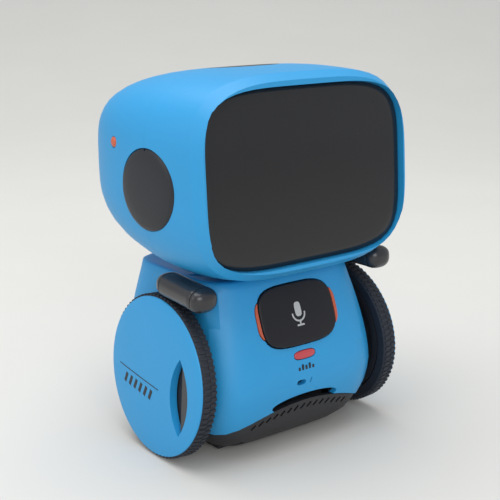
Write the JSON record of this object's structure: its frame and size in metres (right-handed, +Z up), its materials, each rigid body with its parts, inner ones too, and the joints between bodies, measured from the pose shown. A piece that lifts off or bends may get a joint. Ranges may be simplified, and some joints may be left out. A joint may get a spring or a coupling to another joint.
{
  "type": "educational coding robot",
  "caption": "Desk-top coding robot with a screen-shaped head, bell-shaped body, cambered drive wheels, swinging arms and a record button.",
  "frame": {"origin": "on the floor, straight below the neck post's turning axis, where the floor_contact mount is", "axes": "+Z up, the face looks along -Y, +X is towards the robot's own left"},
  "size_m": [0.0846, 0.0717, 0.1119],
  "materials": {
    "blue_shell": "satin",
    "black_plastic": "satin",
    "smoked_gloss": "gloss",
    "tyre_rubber": "matte",
    "orange_lens": "gloss",
    "red_lens": "gloss",
    "circuit_board": "satin",
    "white_plastic": "satin",
    "steel": "satin",
    "brass": "satin"
  },
  "bodies": {
    "chassis": {"body_front_shell": "blue_shell", "body_rear_shell": "blue_shell", "base_tray": "black_plastic", "base_screw_1": "steel", "base_screw_2": "steel", "base_screw_3": "steel", "base_screw_4": "steel", "battery_1": "steel", "battery_2": "steel", "battery_3": "steel", "battery_contact_left": "brass", "battery_contact_right": "brass", "button_light_ring": "orange_lens", "button_board": "circuit_board", "tact_switch": "black_plastic", "record_lens": "red_lens", "microphone": "steel", "switch_body": "steel", "speaker": "black_plastic", "main_board": "circuit_board", "neck_post": "black_plastic", "neck_retainer": "steel", "drive_frame": "white_plastic", "motor_left": "steel", "motor_right": "steel"},
    "head": {"head_bezel": "blue_shell", "visor": "smoked_gloss", "head_front_shell": "blue_shell", "head_rear_shell": "blue_shell", "touch_pad": "black_plastic", "ear_cap_left": "black_plastic", "ear_cap_right": "black_plastic", "side_lens_left": "orange_lens", "side_lens_right": "orange_lens", "display_board": "circuit_board", "eye_display_left": "white_plastic", "eye_display_right": "white_plastic", "head_screw_1": "steel", "head_screw_2": "steel"},
    "left_wheel": {"tyre_left": "tyre_rubber", "wheel_disc_left": "black_plastic", "hub_cap_left": "blue_shell", "axle_left": "steel", "drive_gear_left": "white_plastic"},
    "right_wheel": {"tyre_right": "tyre_rubber", "wheel_disc_right": "black_plastic", "hub_cap_right": "blue_shell", "axle_right": "steel", "drive_gear_right": "white_plastic"},
    "left_pinion": {"motor_pinion_left": "brass"},
    "right_pinion": {"motor_pinion_right": "brass"},
    "left_arm": {"arm_left": "black_plastic", "hand_left": "smoked_gloss"},
    "right_arm": {"arm_right": "black_plastic", "hand_right": "smoked_gloss"},
    "button": {"record_button": "black_plastic"},
    "knob": {"power_knob": "black_plastic"},
    "cover": {"battery_cover": "black_plastic", "cover_screw": "steel"},
    "ball": {"tail_ball": "steel"}
  },
  "joints": [
    {"name": "head_turn", "type": "hinge", "parent": "chassis", "child": "head", "pos_m": [0, 0, 0.057], "axis": [0, 0, 1], "range_deg": [-14, 14]},
    {"name": "left_arm_swing", "type": "hinge", "parent": "chassis", "child": "left_arm", "pos_m": [0.033, -0.0124, 0.0509], "axis": [0, 0, 1], "range_deg": [0, 75]},
    {"name": "right_arm_swing", "type": "hinge", "parent": "chassis", "child": "right_arm", "pos_m": [-0.033, -0.0124, 0.0509], "axis": [0, 0, -1], "range_deg": [0, 75]},
    {"name": "left_wheel_spin", "type": "hinge", "parent": "chassis", "child": "left_wheel", "pos_m": [0.0348, -0.0095, 0.0243], "axis": [0.9982, 0, 0.0593], "continuous": true},
    {"name": "right_wheel_spin", "type": "hinge", "parent": "chassis", "child": "right_wheel", "pos_m": [-0.0348, -0.0095, 0.0243], "axis": [0.9982, 0, -0.0593], "continuous": true},
    {"name": "left_pinion_spin", "type": "hinge", "parent": "chassis", "child": "left_pinion", "pos_m": [0.03436, -0.00281, 0.03172], "axis": [0.9982, 0, 0.0593], "continuous": true},
    {"name": "right_pinion_spin", "type": "hinge", "parent": "chassis", "child": "right_pinion", "pos_m": [-0.03436, -0.00281, 0.03172], "axis": [0.9982, 0, -0.0593], "continuous": true},
    {"name": "record_press", "type": "slide", "parent": "chassis", "child": "button", "axis": [0, 0.9336, -0.3584], "range_m": [0, 0.0012], "stiffness_N_per_m": 400, "springref_m": -0.0005},
    {"name": "power_slide", "type": "slide", "parent": "chassis", "child": "knob", "axis": [1, 0, 0], "range_m": [0, 0.003]},
    {"name": "cover_lift", "type": "slide", "parent": "chassis", "child": "cover", "axis": [0, 0, -1], "range_m": [0, 0.02]},
    {"name": "ball_roll", "type": "hinge", "parent": "chassis", "child": "ball", "pos_m": [0, 0.0159, 0.0032], "axis": [1, 0, 0], "continuous": true}
  ],
  "couplings": [
    {"joint": "left_pinion_spin", "follows": "left_wheel_spin", "ratio": -3},
    {"joint": "right_pinion_spin", "follows": "right_wheel_spin", "ratio": -3}
  ]
}
